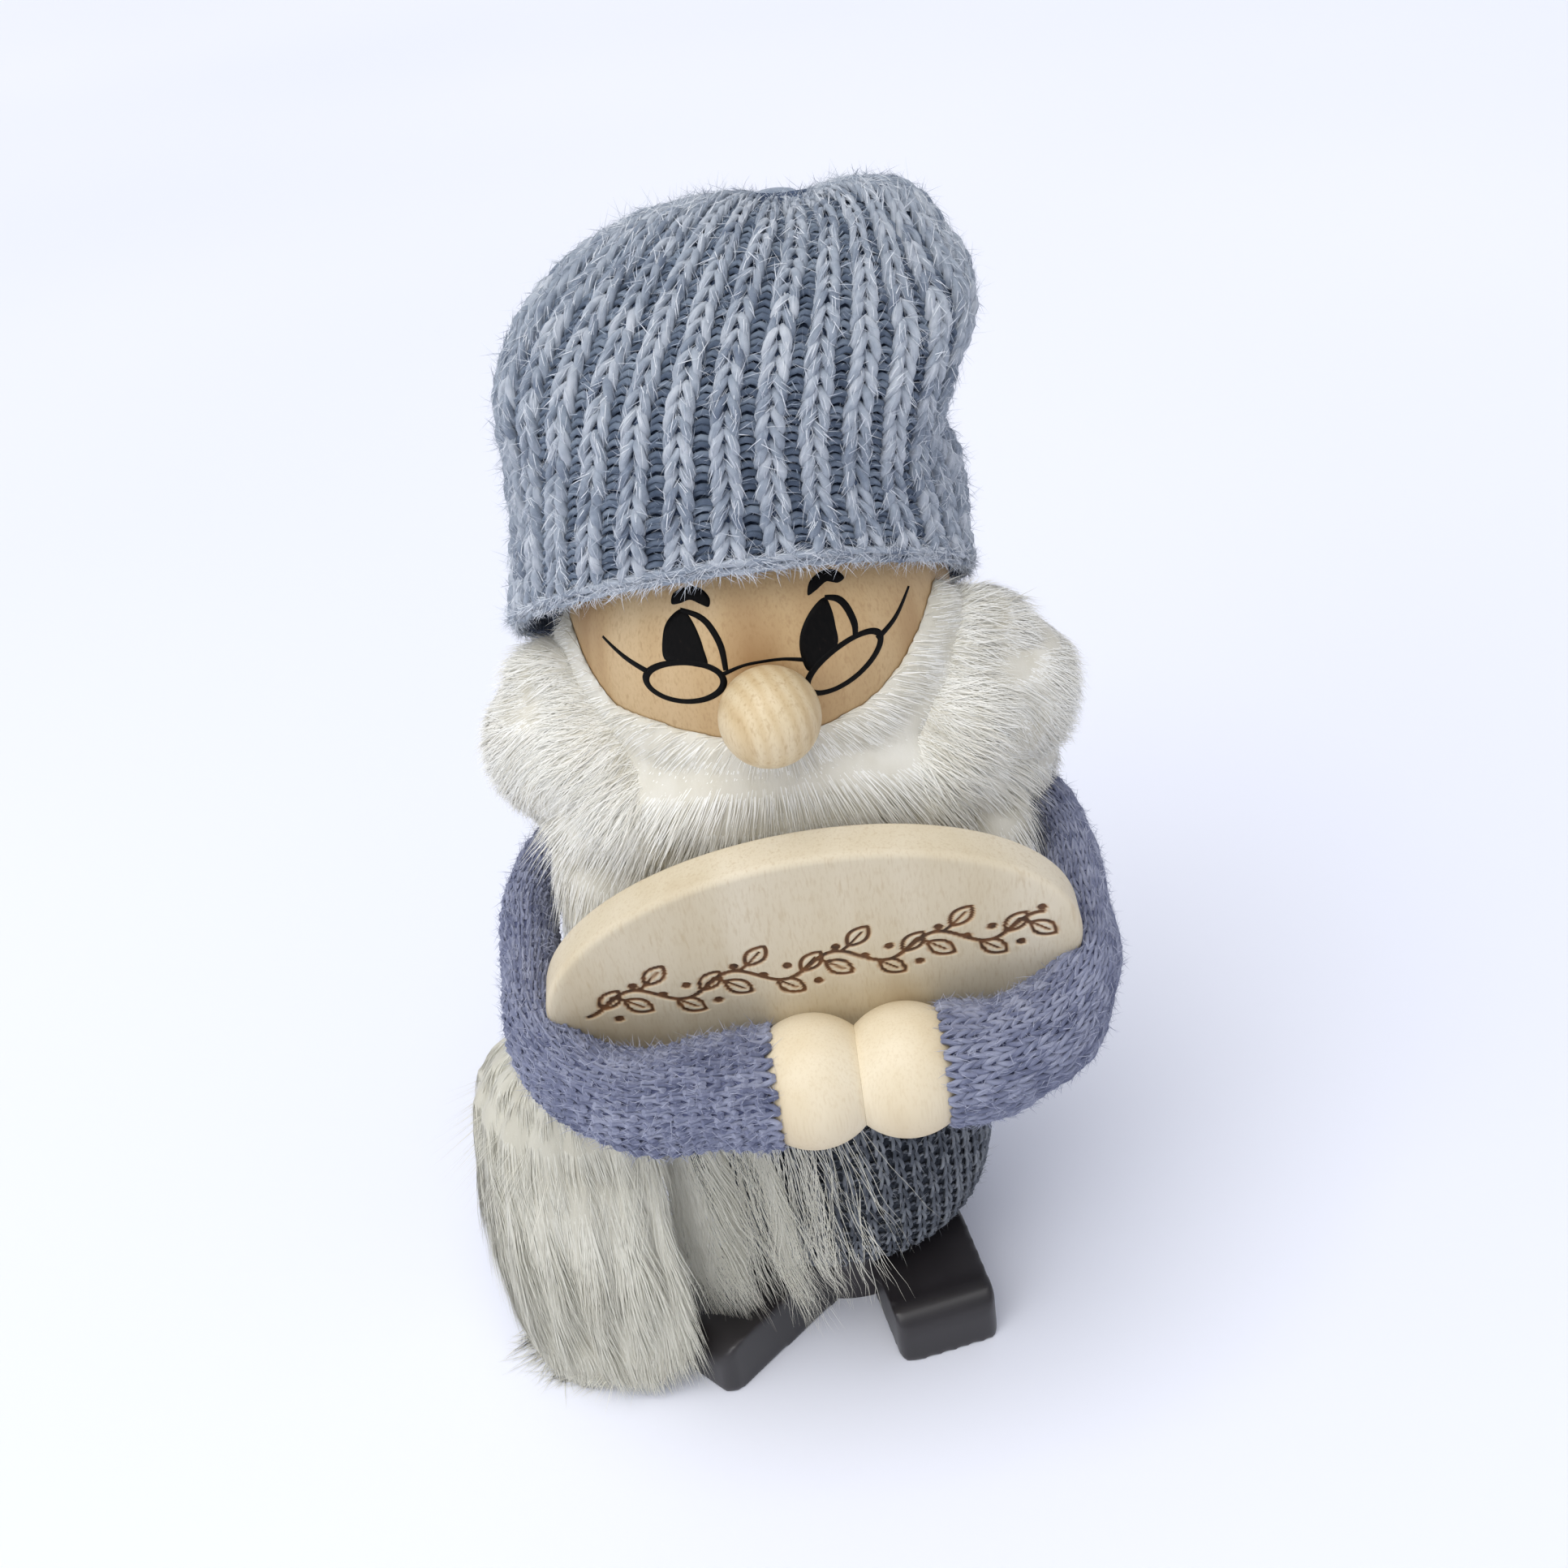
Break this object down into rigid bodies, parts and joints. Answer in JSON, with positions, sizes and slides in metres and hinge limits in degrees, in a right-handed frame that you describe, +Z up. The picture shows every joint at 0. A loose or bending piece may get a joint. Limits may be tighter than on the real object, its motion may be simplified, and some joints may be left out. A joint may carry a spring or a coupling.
{
  "type": "tomte gnome figurine",
  "caption": "Standing wooden tomte with a knitted hat and sweater, a long wool beard, ball nose and ball hands holding an oval plate.",
  "frame": {"origin": "on the surface that the figurine stands on, under the middle of its outline", "axes": "+Z up, the figure faces -Y, +X is towards the figure's own left hand"},
  "size_m": [0.112, 0.0876, 0.1945],
  "materials": {
    "black_paint": "satin black paint on wood",
    "dowel_wood": "bare beech",
    "body_wood": "bare turned pine",
    "face_wood": "lightly oiled turned wood with a printed face",
    "nose_wood": "lacquered ball",
    "sweater_knit": "grey melange rib knit",
    "wool": "off-white combed wool",
    "hat_knit": "blue-grey melange rib knit",
    "wadding": "loose fibre filling",
    "wire": "annealed wire",
    "sleeve_knit": "lavender-blue stocking-stitch knit",
    "hand_wood": "bare birch ball",
    "plate_wood": "sanded birch with a burned ornament"
  },
  "bodies": {
    "figure": {"base_block": "black_paint", "shoe_right": "black_paint", "shoe_left": "black_paint", "shoe_dowel_right": "dowel_wood", "shoe_dowel_left": "dowel_wood", "base_dowel": "dowel_wood", "body": "body_wood", "neck_dowel": "dowel_wood", "head": "face_wood", "nose": "nose_wood", "nose_dowel": "dowel_wood", "sweater": "sweater_knit", "cheek_wool_right": "wool", "cheek_wool_left": "wool", "beard": "wool"},
    "hat": {"hat": "hat_knit", "hat_wadding": "wadding"},
    "arms": {"arm_wire": "wire", "sleeve_right": "sleeve_knit", "sleeve_left": "sleeve_knit", "arm_wadding_right": "wadding", "arm_wadding_left": "wadding", "hand_right": "hand_wood", "hand_left": "hand_wood", "plate": "plate_wood"}
  },
  "joints": [
    {"name": "hat_lift", "type": "slide", "parent": "figure", "child": "hat", "axis": [0, 0, 1], "range_m": [0, 0.07]},
    {"name": "arm_swing", "type": "hinge", "parent": "figure", "child": "arms", "pos_m": [0.00699, 0.00931, 0.098], "axis": [-1, 0, 0], "range_deg": [0, 10]}
  ]
}
